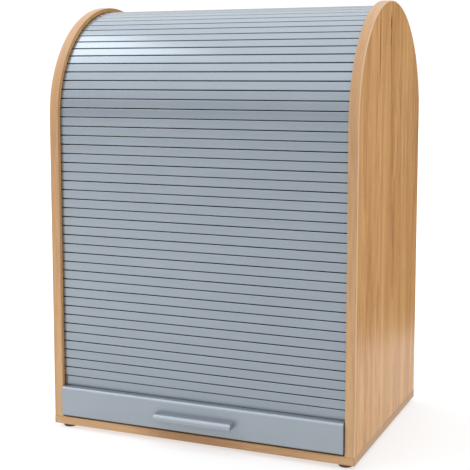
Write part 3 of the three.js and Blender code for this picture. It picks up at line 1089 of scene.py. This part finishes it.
class CABINET_OT_stage(bpy.types.Operator):
    """Makes the pale floor, the soft lights and the camera"""

    bl_idname = "bread_cabinet.stage"
    bl_label = "Stage"

    def execute(self, context):
        scene = context.scene
        scene.view_settings.view_transform = "Standard"
        self.pale_floor()
        self.soft_sky(scene)
        self.soft_box("left_light", GLEAM_PLACE, GLEAM_TARGET, GLEAM_SIZE, GLEAM_POWER)
        below = (FLOOR_LAMP_PLACE[X], FLOOR_LAMP_PLACE[Y], 0)
        lamp = self.soft_box(
            "floor_light", FLOOR_LAMP_PLACE, below, FLOOR_LAMP_SIZE, FLOOR_LAMP_POWER
        )
        lamp.visible_glossy = False
        self.dark_cloth()
        self.white_surround()
        self.camera(scene)
        return {"FINISHED"}

    def pale_floor(self):
        """A floor that glows more towards the left and the back."""
        bpy.ops.mesh.primitive_grid_add(x_subdivisions=4, y_subdivisions=4, size=FLOOR_SIZE)
        floor = added("studio_floor")
        finish = Finish("studio_floor", Roughness=0.9, Emission_Strength=0.9)
        place = finish.place()
        cloudy = finish.noise(place, (0.6, 0.6, 0.6), 1)
        pale = bpy.context.scene.bread_cabinet_finishes.floor
        finish.varies("Base Color", finish.mix(cloudy, scaled(pale, 0.995), pale))
        lit = finish.ramp(finish.part(place, Y) * 0.3 - finish.part(place, X), -0.2, 1.2)
        finish.varies("Emission Color", finish.mix(lit, (0.68, 0.68, 0.68), (1, 1, 1)))
        floor.data.materials.append(finish.material)

    def soft_sky(self, scene):
        """A faintly blue sky: brighter overhead and on the left, darker behind the cabinet."""
        world = bpy.data.worlds.new("studio_world")
        scene.world = world
        sky = Nodes(world, "BACKGROUND")
        sky.shader.inputs["Color"].default_value = (0.985, 1, 1.025, 1)
        towards = sky.node("ShaderNodeTexCoord", {}, {}, 0)
        overhead = sky.ramp(sky.part(towards, Z), 0.05, 0.75)
        left = sky.ramp(-1 * sky.part(towards, X), -0.7, 0.8)
        behind = sky.ramp(sky.part(towards, Y), 0.3, 0.9)
        sky.varies("Strength", 0.77 + overhead * 0.95 + left * 0.1 - behind * 0.35)

    def dark_cloth(self):
        """A black cloth hung to the right behind the cabinet, which shows only in reflections."""
        bpy.ops.mesh.primitive_grid_add(x_subdivisions=2, y_subdivisions=2, size=1)
        cloth = added("black_cloth")
        cloth.scale = (*CLOTH_SIZE, 1)
        cloth.rotation_euler = (math.pi / 2, 0, math.radians(CLOTH_TURN))
        cloth.location = CLOTH_PLACE
        settle(cloth)
        finish = Finish("black_cloth", Roughness=1.0)
        weave = finish.noise(finish.place(), (900, 900, 900), 1)
        finish.varies("Base Color", finish.mix(weave, (0.01, 0.01, 0.01), (0.02, 0.02, 0.02)))
        cloth.data.materials.append(finish.material)
        self.hide_from(cloth, "camera", "diffuse", "shadow", "transmission")

    def white_surround(self):
        """A white shell round the whole stage, which only the camera sees."""
        bpy.ops.mesh.primitive_uv_sphere_add(segments=32, ring_count=16, radius=SHELL_RADIUS)
        shell = added("white_surround")
        black, white = (0, 0, 0, 1), (1, 1, 1, 1)
        finish = Finish(
            "white_surround", Base_Color=black, Emission_Color=white, Emission_Strength=1.0
        )
        shell.data.materials.append(finish.material)
        self.hide_from(shell, "diffuse", "glossy", "transmission", "shadow", "volume_scatter")

    def hide_from(self, obj, *rays):
        """Keeps a piece of the stage out of some kinds of rays."""
        for kind in rays:
            setattr(obj, f"visible_{kind}", False)

    def soft_box(self, name, location, target, size, power):
        """A square area light aimed at a point."""
        light = bpy.data.lights.new(name, "AREA")
        light.size = size
        light.energy = power
        lamp = bpy.data.objects.new(name, light)
        lamp.location = location
        aim = Vector(target) - Vector(location)
        lamp.rotation_euler = aim.to_track_quat("-Z", "Y").to_euler()
        bpy.context.scene.collection.objects.link(lamp)
        return lamp

    def camera(self, scene):
        """The camera to the right of the front, a little above the cabinet's middle."""
        data = bpy.data.cameras.new("camera")
        data.sensor_width = 36
        data.lens = CAMERA_LENS
        data.shift_y = CAMERA_SHIFT_Y
        camera = bpy.data.objects.new("camera", data)
        camera.location = CAMERA_PLACE
        camera.rotation_euler = (math.radians(90 - CAMERA_DOWN), 0, math.radians(CAMERA_TURN))
        scene.collection.objects.link(camera)
        scene.camera = camera


class CABINET_PT_panel(bpy.types.Panel):
    """Lists the cabinet's pieces, sizes and colours in the sidebar"""

    bl_idname = "CABINET_PT_panel"
    bl_label = "Bread cabinet"
    bl_space_type = "VIEW_3D"
    bl_region_type = "UI"
    bl_category = "Bread cabinet"

    def draw(self, context):
        for operator in OPERATORS:
            self.layout.operator(operator.bl_idname)
        for pointer in GROUPS:
            group = getattr(context.scene, pointer)
            column = self.layout.column()
            for name in group.__annotations__:
                column.prop(group, name)


OPERATORS = (
    CABINET_OT_side_panels,
    CABINET_OT_edge_bands,
    CABINET_OT_base_and_feet,
    CABINET_OT_inside,
    CABINET_OT_closing_bar,
    CABINET_OT_handle,
    CABINET_OT_shutter,
    CABINET_OT_stage,
)
GROUPS = {
    "bread_cabinet_sizes": CabinetSizes,
    "bread_shutter_sizes": ShutterSizes,
    "bread_cabinet_finishes": Finishes,
}
CLASSES = (*GROUPS.values(), *OPERATORS, CABINET_PT_panel)


def register():
    for each in CLASSES:
        bpy.utils.register_class(each)
    for pointer, group in GROUPS.items():
        setattr(bpy.types.Scene, pointer, PointerProperty(type=group))


def unregister():
    for pointer in GROUPS:
        delattr(bpy.types.Scene, pointer)
    for each in reversed(CLASSES):
        bpy.utils.unregister_class(each)


def main():
    register()
    for operator in OPERATORS:
        group, name = operator.bl_idname.split(".")
        getattr(getattr(bpy.ops, group), name)()


if __name__ == "__main__":
    main()
